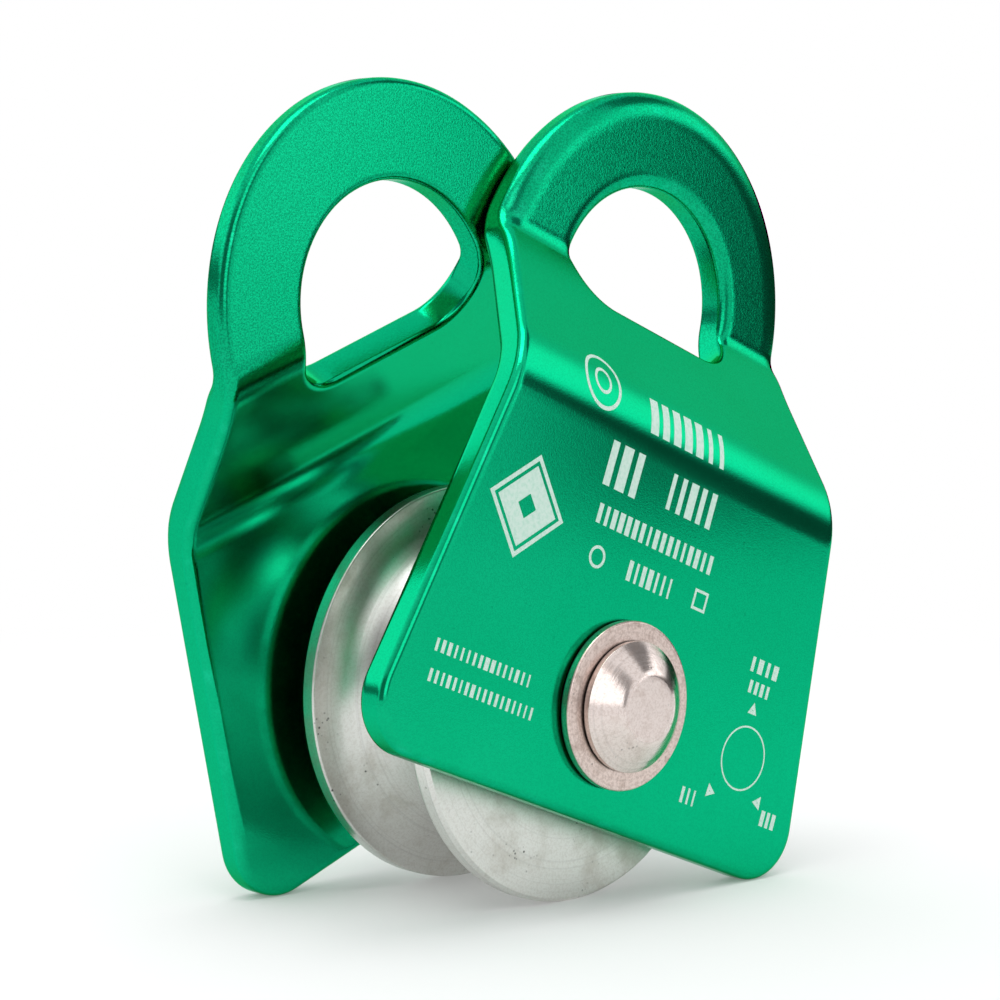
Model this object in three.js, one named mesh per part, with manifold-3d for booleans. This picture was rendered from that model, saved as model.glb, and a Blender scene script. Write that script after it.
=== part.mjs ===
// A small rope pulley with two swinging cheeks, in millimetres, +Z up.
//
// The sheave turns on a ball bearing round a riveted axle that runs along Y. Each cheek is one stamped sheet
// that hangs beside the sheave and bends inward above it, so that the two eyes can lie face to face and take
// one carabiner. The pulley stands with its cheeks swung apart, on the rims of the sheave and on one foot
// corner of each cheek. The front cheek is on the -Y side. The origin is on the floor, under the axle.

import * as THREE from 'three';
import { mergeVertices } from 'three/addons/utils/BufferGeometryUtils.js';
import Module from 'manifold-3d';

// Sheave
const SHEAVE_DIAMETER = 40;
const GROOVE_WIDTH = 14.1; // clear width at the rims, for rope up to 11 mm
const GROOVE_DEPTH = 6.8;
const RIM_THICKNESS = 1.85;
const RIM_CHAMFER = 0.35;
const BEARING_LIP = 1.4; // height of the shoulder that the bearing is pressed against

// Axle and what is threaded on it
const AXLE_DIAMETER = 10;
const HEAD_DIAMETER = 12.6;
const HEAD_EDGE = 0.5; // straight edge of the head, under its cone
const HEAD_FACE_DIAMETER = 6.6;
const HEAD_HEIGHT = 2.8;
const WASHER_DIAMETER = 16.4;
const WASHER_THICKNESS = 1.1;
const WASHER_CHAMFER = 0.2;

// Ball bearing
const BEARING_DIAMETER = 22;
const BEARING_WIDTH = 6;
const BALL_DIAMETER = 3.1;
const BALL_COUNT = 9;
const RACE_SHOULDER = 0.45; // how far each race wraps past the ball's pitch circle, as a share of its radius
const CAGE_RAIL = 0.45; // cage metal left at each side of a pocket
const SHIELD_THICKNESS = 0.3;

// Retaining ring of the bearing
const RING_THICKNESS = 1.0;
const RING_GROOVE_DEPTH = 0.5;
const RING_BAND = 1.4; // radial width of the ring
const RING_GAP_ANGLE = THREE.MathUtils.degToRad(46);
const RING_LUG_RADIUS = 1.3;
const RING_LUG_HOLE = 1.1; // diameter of the hole for the pliers

// Cheeks
const CHEEK_THICKNESS = 3.4;
const CHEEK_EDGE_RADIUS = 0.8;
const CHEEK_TO_RIM = 2.65; // air between a cheek and the sheave
const EYE_FACE_GAP = 0.4; // air between the two eyes where they pass each other
const FOOT_WIDTH = 61;
const FOOT_CORNER_RADIUS = 5.5;
const SHEAVE_SHOWING = 8.3; // how far the sheave reaches below the cheeks
const SHOULDER_WIDTH = 47.9;
const SHOULDER_RADIUS = 2.5;
const BEND_ABOVE_SHEAVE = 3.5; // the sheet starts to bend this far outside the sheave
const LOWER_BEND_RADIUS = 9; // at the middle of the sheet
const UPPER_BEND_RADIUS = 5;
const BEND_ANGLE = THREE.MathUtils.degToRad(37.5);
const SHOULDER_ABOVE_BEND = 3.8;
const EYE_WIDTH = 43;
const EYE_CENTRE_ABOVE_BEND = 19.6;
const EYE_CROWN = 23; // from the eye's centre to its top, along the sheet
const NECK_RADIUS = 30;
const HOLE_WIDTH = 23.4;
const HOLE_CENTRE_ABOVE_BEND = 21.2;
const HOLE_FLOOR_ABOVE_BEND = 15.9;
const HOLE_CORNER_RADIUS = 5;

// Fits
const RUNNING_FIT = 0.08; // radial air round a turning fit
const SEAT_FIT = 0.03; // radial air in a fit that is pressed together on the real thing
const SIDE_FIT = 0.1; // air between faces that turn past each other
const BALL_FIT = 0.06; // air round each ball

// How finely round shapes are drawn
const ROUND = 48;
const CHEEK_BORE_ROUND = 24;
const SMALL_ROUND = 32;
const BALL_ROUND = 12;
const GROOVE_STEPS = 5; // from the rim to the bottom of the groove
const BEND_STEPS = 3;
const ARC_STEP = THREE.MathUtils.degToRad(12);
const ROW_SNAP = 0.02; // a corner this near a bend line counts as on it

// Worked out from the sizes above
const SHEAVE_RADIUS = SHEAVE_DIAMETER / 2;
const SHEAVE_HALF = GROOVE_WIDTH / 2 + RIM_THICKNESS;
const AXLE_RADIUS = AXLE_DIAMETER / 2;
const BEARING_RADIUS = BEARING_DIAMETER / 2;
const BEARING_HALF = BEARING_WIDTH / 2;
const BEARING_BORE = AXLE_RADIUS + SEAT_FIT;
const PITCH_RADIUS = (BEARING_BORE + BEARING_RADIUS) / 2;
const RACE_RADIUS = BALL_DIAMETER / 2 + BALL_FIT;
const INNER_SHOULDER = PITCH_RADIUS - RACE_RADIUS * RACE_SHOULDER;
const OUTER_SHOULDER = PITCH_RADIUS + RACE_RADIUS * RACE_SHOULDER;
const CHEEK_INSIDE = SHEAVE_HALF + CHEEK_TO_RIM; // from the middle of the pulley to a cheek
const CHEEK_OUTSIDE = CHEEK_INSIDE + CHEEK_THICKNESS;
const WASHER_INSIDE = CHEEK_OUTSIDE + SIDE_FIT;
const HEAD_INSIDE = WASHER_INSIDE + WASHER_THICKNESS + SEAT_FIT;
const BEND_START = SHEAVE_RADIUS + BEND_ABOVE_SHEAVE;
const FOOT_DROP = SHEAVE_RADIUS - SHEAVE_SHOWING;
const BALL_STEP = (2 * Math.PI) / BALL_COUNT;

// The cheeks lean until the round of a foot corner is as low as the sheave
const SHOULDER_Y = BEND_START + SHOULDER_ABOVE_BEND;
const FOOT_ANGLE = Math.atan2(SHOULDER_Y + FOOT_DROP, (FOOT_WIDTH - SHOULDER_WIDTH) / 2);
const CORNER_X = FOOT_WIDTH / 2 - FOOT_CORNER_RADIUS / Math.tan(FOOT_ANGLE / 2);
const CORNER_Z = FOOT_DROP - FOOT_CORNER_RADIUS;
const LEAN = Math.asin((SHEAVE_RADIUS - FOOT_CORNER_RADIUS) / Math.hypot(CORNER_X, CORNER_Z))
  - Math.atan2(CORNER_Z, CORNER_X);

const wasm = await Module();
wasm.setup();

function material(color, roughness, metalness) {
  return new THREE.MeshStandardMaterial({ color, roughness, metalness });
}

const FINISH = {
  cheek: () => material(0x00a878, 0.35, 0.8),
  sheave: () => material(0xc8c6c2, 0.4, 0.9),
  axle: () => material(0xbfa79b, 0.3, 0.95),
  bearing: () => material(0xa9adb2, 0.2, 1.0),
  cage: () => material(0xb08d4f, 0.4, 0.9),
  spring: () => material(0x3b3d40, 0.45, 0.9),
};

function piece(name, geometry, finish) {
  const mesh = new THREE.Mesh(geometry, FINISH[finish]());
  mesh.name = name;
  return mesh;
}

// Keeps only the places and the triangles of a geometry, with shared corners joined.
function welded(geometry) {
  const bare = geometry.clone();
  bare.deleteAttribute('normal');
  bare.deleteAttribute('uv');
  return mergeVertices(bare, 1e-5);
}

function solid(geometry) {
  const bare = welded(geometry);
  const vertProperties = Float32Array.from(bare.attributes.position.array);
  const triVerts = Uint32Array.from(bare.index.array);
  return new wasm.Manifold(new wasm.Mesh({ numProp: 3, vertProperties, triVerts }));
}

function geometryOf(body) {
  const mesh = body.getMesh();
  const geometry = new THREE.BufferGeometry();
  geometry.setAttribute('position', new THREE.BufferAttribute(mesh.vertProperties, 3));
  geometry.setIndex(new THREE.BufferAttribute(mesh.triVerts, 1));
  geometry.computeVertexNormals();
  return geometry;
}

// Turns a closed outline of [radius, y] corners round the axle. Its outer side runs towards +Y.
function turned(outline, segments = ROUND) {
  const corners = outline.map(([r, y]) => new THREE.Vector2(r, y));
  corners.push(corners[0].clone());
  return welded(new THREE.LatheGeometry(corners, segments));
}

function ring(inner, outer, low, high) {
  return [[inner, low], [outer, low], [outer, high], [inner, high]];
}

// Points on an arc from one angle to another, both ends included.
function arc(cx, cy, rx, ry, from, to, step = ARC_STEP) {
  const count = Math.max(2, Math.ceil(Math.abs(to - from) / step - 1e-6));
  return Array.from({ length: count + 1 }, (_, i) => {
    const angle = from + ((to - from) * i) / count;
    return new THREE.Vector2(cx + rx * Math.cos(angle), cy + ry * Math.sin(angle));
  });
}

// Rounds one corner of an outline. Its radius gives way where the sides are too short for it.
function rounded(before, corner, after, radius) {
  const a = before.clone().sub(corner);
  const b = after.clone().sub(corner);
  const reach = Math.min(a.length(), b.length()) * 0.98;
  a.normalize();
  b.normalize();
  const half = Math.acos(THREE.MathUtils.clamp(a.dot(b), -1, 1)) / 2;
  const r = Math.min(radius, reach * Math.tan(half));
  const centre = corner.clone().add(a.clone().add(b).normalize().multiplyScalar(r / Math.sin(half)));
  const start = corner.clone().addScaledVector(a, r / Math.tan(half)).sub(centre).angle();
  const end = corner.clone().addScaledVector(b, r / Math.tan(half)).sub(centre).angle();
  const sweep = THREE.MathUtils.euclideanModulo(end - start + Math.PI, 2 * Math.PI) - Math.PI;
  return arc(centre.x, centre.y, r, r, start, start + sweep);
}

// --- Cheeks -----------------------------------------------------------------------------------------------

// The flat sheet before it is bent: x across the cheek, y up from the axle's centre.
function cheekOutline() {
  const foot = FOOT_WIDTH / 2;
  const shoulder = new THREE.Vector2(SHOULDER_WIDTH / 2, SHOULDER_Y);
  const eyeY = BEND_START + EYE_CENTRE_ABOVE_BEND;
  const neckDrop = NECK_RADIUS * Math.tan(Math.atan2(shoulder.x - EYE_WIDTH / 2, eyeY - shoulder.y) / 2);
  const neck = new THREE.Vector2(EYE_WIDTH / 2, eyeY - neckDrop);
  const corner = new THREE.Vector2(foot, -FOOT_DROP);
  const right = [
    ...rounded(new THREE.Vector2(0, -FOOT_DROP), corner, shoulder, FOOT_CORNER_RADIUS),
    ...rounded(corner, shoulder, neck, SHOULDER_RADIUS),
    ...rounded(shoulder, neck, new THREE.Vector2(EYE_WIDTH / 2, eyeY), NECK_RADIUS),
  ];
  const crown = arc(0, eyeY, EYE_WIDTH / 2, EYE_CROWN, 0, Math.PI).slice(1, -1);
  const left = right.map((p) => new THREE.Vector2(-p.x, p.y)).reverse();
  return [...right, ...crown, ...left];
}

function carabinerHole() {
  const half = HOLE_WIDTH / 2;
  const centreY = BEND_START + HOLE_CENTRE_ABOVE_BEND;
  const floorY = BEND_START + HOLE_FLOOR_ABOVE_BEND;
  const floor = new THREE.Vector2(0, floorY);
  const corner = new THREE.Vector2(half, floorY);
  const right = rounded(floor, corner, new THREE.Vector2(half, centreY), HOLE_CORNER_RADIUS);
  const left = right.map((p) => new THREE.Vector2(-p.x, p.y)).reverse();
  return [...right, ...arc(0, centreY, half, half, 0, Math.PI), ...left];
}

// The path of the sheet's middle, from the axle's height up: straight, bent in, sloping, bent back, straight.
function sheetPath() {
  const low = CHEEK_INSIDE + CHEEK_THICKNESS / 2;
  const high = EYE_FACE_GAP / 2 + CHEEK_THICKNESS / 2;
  const bends = (LOWER_BEND_RADIUS + UPPER_BEND_RADIUS) * (1 - Math.cos(BEND_ANGLE));
  const rows = [BEND_START, BEND_START + LOWER_BEND_RADIUS * BEND_ANGLE];
  rows.push(rows[1] + (low - high - bends) / Math.sin(BEND_ANGLE));
  rows.push(rows[2] + UPPER_BEND_RADIUS * BEND_ANGLE);
  return { low, rows };
}

// Where a point of the flat sheet goes, with `out` counted from the sheet's middle away from the sheave.
function bentPlace(path, across, along, out) {
  const [bend, slope, unbend, eye] = path.rows;
  const inBend = THREE.MathUtils.clamp(along, bend, slope) - bend;
  const inUnbend = THREE.MathUtils.clamp(along, unbend, eye) - unbend;
  const onSlope = THREE.MathUtils.clamp(along, slope, unbend) - slope;
  const flat = Math.min(along, bend) + Math.max(along - eye, 0);
  const first = inBend / LOWER_BEND_RADIUS;
  const second = BEND_ANGLE - inUnbend / UPPER_BEND_RADIUS;
  const tilt = along > unbend ? second : first;
  const up = flat + LOWER_BEND_RADIUS * Math.sin(first) + onSlope * Math.cos(BEND_ANGLE)
    + UPPER_BEND_RADIUS * (Math.sin(BEND_ANGLE) - Math.sin(second));
  const inward = LOWER_BEND_RADIUS * (1 - Math.cos(first)) + onSlope * Math.sin(BEND_ANGLE)
    + UPPER_BEND_RADIUS * (Math.cos(second) - Math.cos(BEND_ANGLE));
  const side = path.low - inward + out * Math.cos(tilt);
  return new THREE.Vector3(across, -side, up + out * Math.sin(tilt));
}

// Splits one triangle where it crosses a line. `sideOf` is -1, 0 or 1 and `crossing` gives a new corner.
function splitTriangle(triangle, sideOf, crossing) {
  const sides = triangle.map(sideOf);
  if (Math.min(...sides) >= 0 || Math.max(...sides) <= 0) return [triangle];
  const onLine = sides.indexOf(0);
  const total = sides[0] + sides[1] + sides[2];
  const lone = onLine >= 0 ? onLine : sides.indexOf(-total);
  const [a, b, c] = [0, 1, 2].map((i) => triangle[(lone + i) % 3]);
  if (onLine >= 0) {
    const p = crossing(b, c);
    return [[a, b, p], [a, p, c]];
  }
  const p = crossing(a, b);
  const q = crossing(a, c);
  return [[a, p, q], [p, b, c], [p, c, q]];
}

// Adds corners to a closed geometry wherever it crosses the lines y = row, so that it can be bent there.
function withRows(geometry, rows) {
  const places = geometry.attributes.position;
  const points = [];
  for (let i = 0; i < places.count; i += 1) points.push(new THREE.Vector3().fromBufferAttribute(places, i));
  const index = Array.from(geometry.index.array);
  let triangles = Array.from({ length: index.length / 3 }, (_, i) => index.slice(3 * i, 3 * i + 3));
  for (const row of rows) {
    const made = new Map();
    const sideOf = (i) => (Math.abs(points[i].y - row) < ROW_SNAP ? 0 : Math.sign(points[i].y - row));
    const crossing = (i, j) => {
      const key = `${Math.min(i, j)}_${Math.max(i, j)}`;
      if (!made.has(key)) {
        const share = (row - points[i].y) / (points[j].y - points[i].y);
        made.set(key, points.push(points[i].clone().lerp(points[j], share)) - 1);
      }
      return made.get(key);
    };
    triangles = triangles.flatMap((triangle) => splitTriangle(triangle, sideOf, crossing));
  }
  return { points, triangles };
}

function cheek() {
  const shape = new THREE.Shape(cheekOutline());
  shape.holes.push(new THREE.Path(carabinerHole()));
  const bore = AXLE_RADIUS + RUNNING_FIT;
  const boreStep = (2 * Math.PI) / CHEEK_BORE_ROUND;
  shape.holes.push(new THREE.Path(arc(0, 0, bore, bore, 0, 2 * Math.PI, boreStep).slice(0, -1)));
  const flat = new THREE.ExtrudeGeometry(shape, {
    depth: CHEEK_THICKNESS - 2 * CHEEK_EDGE_RADIUS,
    bevelEnabled: true,
    bevelThickness: CHEEK_EDGE_RADIUS,
    bevelSize: CHEEK_EDGE_RADIUS,
    bevelOffset: -CHEEK_EDGE_RADIUS,
    bevelSegments: 2,
  });
  flat.translate(0, 0, CHEEK_EDGE_RADIUS - CHEEK_THICKNESS / 2);
  const path = sheetPath();
  const [bend, slope, unbend, eye] = path.rows;
  const rows = [];
  for (let i = 0; i <= BEND_STEPS; i += 1) {
    rows.push(bend + ((slope - bend) * i) / BEND_STEPS, unbend + ((eye - unbend) * i) / BEND_STEPS);
  }
  const { points, triangles } = withRows(welded(flat), rows);
  const bent = new THREE.BufferGeometry();
  bent.setFromPoints(points.map((p) => bentPlace(path, p.x, p.y, p.z)));
  bent.setIndex(triangles.flat());
  bent.computeVertexNormals();
  return bent;
}

// --- Sheave -----------------------------------------------------------------------------------------------

function sheave() {
  const quarter = Math.PI / 2;
  const step = quarter / GROOVE_STEPS;
  const root = arc(SHEAVE_RADIUS, 0, -GROOVE_DEPTH, GROOVE_WIDTH / 2, -quarter, quarter, step);
  const seat = BEARING_RADIUS + SEAT_FIT;
  const lip = BEARING_RADIUS - BEARING_LIP;
  const mouth = seat + RING_GROOVE_DEPTH;
  const ringOut = -BEARING_HALF - SEAT_FIT;
  const ringIn = ringOut - RING_THICKNESS - 2 * SEAT_FIT;
  const edge = SHEAVE_RADIUS - RIM_CHAMFER;
  const outline = [
    [seat, -SHEAVE_HALF],
    [edge, -SHEAVE_HALF],
    [SHEAVE_RADIUS, -SHEAVE_HALF + RIM_CHAMFER],
    ...root.map((p) => [p.x, p.y]),
    [SHEAVE_RADIUS, SHEAVE_HALF - RIM_CHAMFER],
    [edge, SHEAVE_HALF],
    [lip, SHEAVE_HALF],
    [lip, BEARING_HALF + SEAT_FIT],
    [seat, BEARING_HALF + SEAT_FIT],
    [seat, ringOut],
    [mouth, ringOut],
    [mouth, ringIn],
    [seat, ringIn],
  ];
  return turned(outline, ROUND);
}

// An open spring ring with two lugs for pliers, lying in its groove in front of the bearing.
function retainingRing() {
  const outer = BEARING_RADIUS + SEAT_FIT + RING_GROOVE_DEPTH - SEAT_FIT;
  const middle = outer - RING_BAND / 2;
  const half = RING_GAP_ANGLE / 2;
  const band = new THREE.Shape([
    ...arc(0, 0, outer, outer, half, 2 * Math.PI - half),
    ...arc(0, 0, outer - RING_BAND, outer - RING_BAND, 2 * Math.PI - half, half),
  ]);
  const flat = { depth: RING_THICKNESS, bevelEnabled: false };
  let body = solid(new THREE.ExtrudeGeometry(band, flat));
  for (const angle of [half, -half]) {
    const x = (middle - RING_LUG_RADIUS / 2) * Math.cos(angle);
    const y = (middle - RING_LUG_RADIUS / 2) * Math.sin(angle);
    const lug = new THREE.CylinderGeometry(RING_LUG_RADIUS, RING_LUG_RADIUS, RING_THICKNESS, 16);
    const hole = new THREE.CylinderGeometry(RING_LUG_HOLE / 2, RING_LUG_HOLE / 2, 2 * RING_THICKNESS, 12);
    for (const round of [lug, hole]) round.rotateX(Math.PI / 2).translate(x, y, RING_THICKNESS / 2);
    body = body.add(solid(lug)).subtract(solid(hole));
  }
  const geometry = geometryOf(body);
  geometry.rotateX(Math.PI / 2);
  geometry.translate(0, -BEARING_HALF - 2 * SEAT_FIT, 0);
  return geometry;
}

// --- Axle -------------------------------------------------------------------------------------------------

function axle() {
  const head = HEAD_DIAMETER / 2;
  const face = HEAD_FACE_DIAMETER / 2;
  const rear = [
    [AXLE_RADIUS, HEAD_INSIDE],
    [head, HEAD_INSIDE],
    [head, HEAD_INSIDE + HEAD_EDGE],
    [face, HEAD_INSIDE + HEAD_HEIGHT],
    [0, HEAD_INSIDE + HEAD_HEIGHT],
  ];
  const front = rear.map(([r, y]) => [r, -y]).reverse();
  return welded(new THREE.LatheGeometry([...front, ...rear].map(([r, y]) => new THREE.Vector2(r, y)), ROUND));
}

function outerWasher() {
  const bore = AXLE_RADIUS + RUNNING_FIT;
  const rim = WASHER_DIAMETER / 2;
  const top = WASHER_INSIDE + WASHER_THICKNESS;
  return turned([
    [bore, WASHER_INSIDE],
    [rim, WASHER_INSIDE],
    [rim, top - WASHER_CHAMFER],
    [rim - WASHER_CHAMFER, top],
    [bore, top],
  ]);
}

// The sleeve that keeps a cheek clear of the sheave. It bears on the bearing's inner race.
function spacer() {
  const bore = AXLE_RADIUS + RUNNING_FIT;
  return turned(ring(bore, INNER_SHOULDER, BEARING_HALF + SEAT_FIT, CHEEK_INSIDE - SIDE_FIT), SMALL_ROUND);
}

// --- Bearing ----------------------------------------------------------------------------------------------

function innerRace() {
  const angle = Math.acos(RACE_SHOULDER);
  const track = arc(PITCH_RADIUS, 0, -RACE_RADIUS, RACE_RADIUS, -angle, angle, 2 * ARC_STEP);
  return turned([
    [BEARING_BORE, -BEARING_HALF],
    [INNER_SHOULDER, -BEARING_HALF],
    ...track.map((p) => [p.x, p.y]),
    [INNER_SHOULDER, BEARING_HALF],
    [BEARING_BORE, BEARING_HALF],
  ], SMALL_ROUND);
}

function outerRace() {
  const angle = Math.acos(RACE_SHOULDER);
  const track = arc(PITCH_RADIUS, 0, RACE_RADIUS, RACE_RADIUS, angle, -angle, 2 * ARC_STEP);
  return turned([
    [BEARING_RADIUS, -BEARING_HALF],
    [BEARING_RADIUS, BEARING_HALF],
    [OUTER_SHOULDER, BEARING_HALF],
    ...track.map((p) => [p.x, p.y]),
    [OUTER_SHOULDER, -BEARING_HALF],
  ]);
}

function cage() {
  const air = (OUTER_SHOULDER - INNER_SHOULDER) / 4;
  const pocket = BALL_DIAMETER / 2 + BALL_FIT;
  const half = pocket + CAGE_RAIL;
  let body = solid(turned(ring(INNER_SHOULDER + air, OUTER_SHOULDER - air, -half, half), SMALL_ROUND));
  for (let i = 0; i < BALL_COUNT; i += 1) {
    const drill = new THREE.CylinderGeometry(pocket, pocket, 4 * air, BALL_ROUND);
    drill.rotateX(Math.PI / 2).translate(0, 0, PITCH_RADIUS);
    drill.rotateY(BALL_STEP * i);
    body = body.subtract(solid(drill));
  }
  return geometryOf(body);
}

function shield() {
  const outer = BEARING_HALF - SIDE_FIT;
  const inner = outer - SHIELD_THICKNESS;
  return turned(ring(INNER_SHOULDER + RUNNING_FIT, OUTER_SHOULDER - SEAT_FIT, inner, outer), SMALL_ROUND);
}

// --- Assembly ---------------------------------------------------------------------------------------------

// Puts a pair of like pieces on the axle: the rear one as made, the front one turned half round.
function bothSides(name, geometry, finish) {
  const rear = piece(`rear_${name}`, geometry, finish);
  const front = piece(`front_${name}`, geometry.clone(), finish);
  front.rotation.z = Math.PI;
  return [front, rear];
}

const pulley = new THREE.Group();
pulley.position.z = SHEAVE_RADIUS;

const frontCheek = piece('front_cheek_plate', cheek(), 'cheek');
frontCheek.rotation.y = LEAN;
pulley.add(frontCheek);

const rearSide = new THREE.Group();
rearSide.rotation.z = Math.PI;
const rearCheek = piece('rear_cheek_plate', cheek(), 'cheek');
rearCheek.rotation.y = LEAN;
rearSide.add(rearCheek);
pulley.add(rearSide);

pulley.add(piece('sheave', sheave(), 'sheave'));
pulley.add(piece('bearing_retaining_ring', retainingRing(), 'spring'));
pulley.add(piece('axle_rivet', axle(), 'axle'));
pulley.add(...bothSides('outer_washer', outerWasher(), 'axle'));
pulley.add(...bothSides('spacer_sleeve', spacer(), 'axle'));
pulley.add(piece('bearing_inner_race', innerRace(), 'bearing'));
pulley.add(piece('bearing_outer_race', outerRace(), 'bearing'));
pulley.add(piece('bearing_cage', cage(), 'cage'));
pulley.add(...bothSides('bearing_shield', shield(), 'bearing'));
for (let i = 0; i < BALL_COUNT; i += 1) {
  const sphere = welded(new THREE.SphereGeometry(BALL_DIAMETER / 2, BALL_ROUND, BALL_ROUND - 4));
  const ball = piece(`bearing_ball_${i + 1}`, sphere, 'bearing');
  ball.position.set(PITCH_RADIUS * Math.sin(BALL_STEP * i), 0, PITCH_RADIUS * Math.cos(BALL_STEP * i));
  pulley.add(ball);
}

const assembly = new THREE.Group();
assembly.add(pulley);
export default assembly;
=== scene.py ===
"""A rope pulley with two swinging cheeks, dressed for a studio shot.

Lengths in the classes below are in millimetres, as a drawing gives them, and meshes are written in metres.
The axle runs along Y at one sheave radius above the floor, with the front cheek on the -Y side.
"""

from __future__ import annotations

import logging
import math
from dataclasses import dataclass, field, replace
from enum import Enum
from typing import Any, Iterable, Sequence

import bmesh
import bpy
import numpy as np
from mathutils import Matrix, Vector


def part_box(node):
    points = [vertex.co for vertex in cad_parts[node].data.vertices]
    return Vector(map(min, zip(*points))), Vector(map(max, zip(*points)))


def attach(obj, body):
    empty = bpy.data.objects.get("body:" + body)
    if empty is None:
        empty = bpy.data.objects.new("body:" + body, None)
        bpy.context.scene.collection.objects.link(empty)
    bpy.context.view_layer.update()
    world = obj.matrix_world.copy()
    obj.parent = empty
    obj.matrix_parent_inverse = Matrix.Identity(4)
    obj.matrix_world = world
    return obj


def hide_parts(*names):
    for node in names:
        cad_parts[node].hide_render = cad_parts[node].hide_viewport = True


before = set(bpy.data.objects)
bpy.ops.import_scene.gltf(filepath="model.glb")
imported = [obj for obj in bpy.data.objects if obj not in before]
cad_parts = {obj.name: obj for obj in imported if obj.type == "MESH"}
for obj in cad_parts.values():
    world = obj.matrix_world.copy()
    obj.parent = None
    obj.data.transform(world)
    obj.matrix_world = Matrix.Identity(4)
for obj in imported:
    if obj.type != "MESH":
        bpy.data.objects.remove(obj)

MM = 0.001
WELD = 1e-6  # corners nearer than this are joined, in metres
QUARTER = math.pi / 2
LOG = logging.getLogger("rope_pulley")
Corner = tuple[float, float, float]


class Body(Enum):
    """The rigid bodies that pieces ride on."""

    AXLE = "axle"
    FRONT_CHEEK = "front_cheek"
    REAR_CHEEK = "rear_cheek"
    SHEAVE_WHEEL = "sheave_wheel"
    BALL_TRAIN = "ball_train"


class Side(Enum):
    """The two sides of the pulley, with the sign of Y on each."""

    FRONT = -1
    REAR = 1

    @property
    def word(self) -> str:
        """The side's name as it stands in node names."""
        return self.name.lower()

    def place(self, corners: Iterable[Corner]) -> list[Corner]:
        """A profile that is drawn on the rear side, put on this side."""
        return [(radius, y * self.value, rounding) for radius, y, rounding in corners]


# --- Node graphs --------------------------------------------------------------------------------------------


class Wire:
    """A node's output that Python's arithmetic can be used on."""

    def __init__(self, graph: Graph, socket: bpy.types.NodeSocket) -> None:
        """Keeps the graph that new nodes go in and the socket that the wire starts from."""
        self.graph = graph
        self.socket = socket

    def __add__(self, other: Wire | float) -> Wire:
        """The sum."""
        return self.graph.math("ADD", self, other)

    __radd__ = __add__

    def __sub__(self, other: Wire | float) -> Wire:
        """The difference."""
        return self.graph.math("SUBTRACT", self, other)

    def __rsub__(self, other: float) -> Wire:
        """The difference, with the number first."""
        return self.graph.math("SUBTRACT", other, self)

    def __mul__(self, other: Wire | float) -> Wire:
        """The product."""
        return self.graph.math("MULTIPLY", self, other)

    __rmul__ = __mul__

    def __truediv__(self, other: Wire | float) -> Wire:
        """The quotient."""
        return self.graph.math("DIVIDE", self, other)

    def __rtruediv__(self, other: float) -> Wire:
        """The quotient, with the number first."""
        return self.graph.math("DIVIDE", other, self)

    def smooth(self, low: float, high: float) -> Wire:
        """A smooth step from 0 at one value to 1 at the other.

        Args:
            low: The value where the step begins.
            high: The value where it ends. It may be the smaller one.

        Returns:
            The step.
        """
        falls = high < low
        settings = {"interpolation_type": "SMOOTHSTEP"}
        limits = {"From Min": min(low, high), "From Max": max(low, high)}
        node = self.graph.node("ShaderNodeMapRange", settings, {"Value": self, **limits})
        step = self.graph.wire(node, "Result")
        return 1 - step if falls else step


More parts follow.
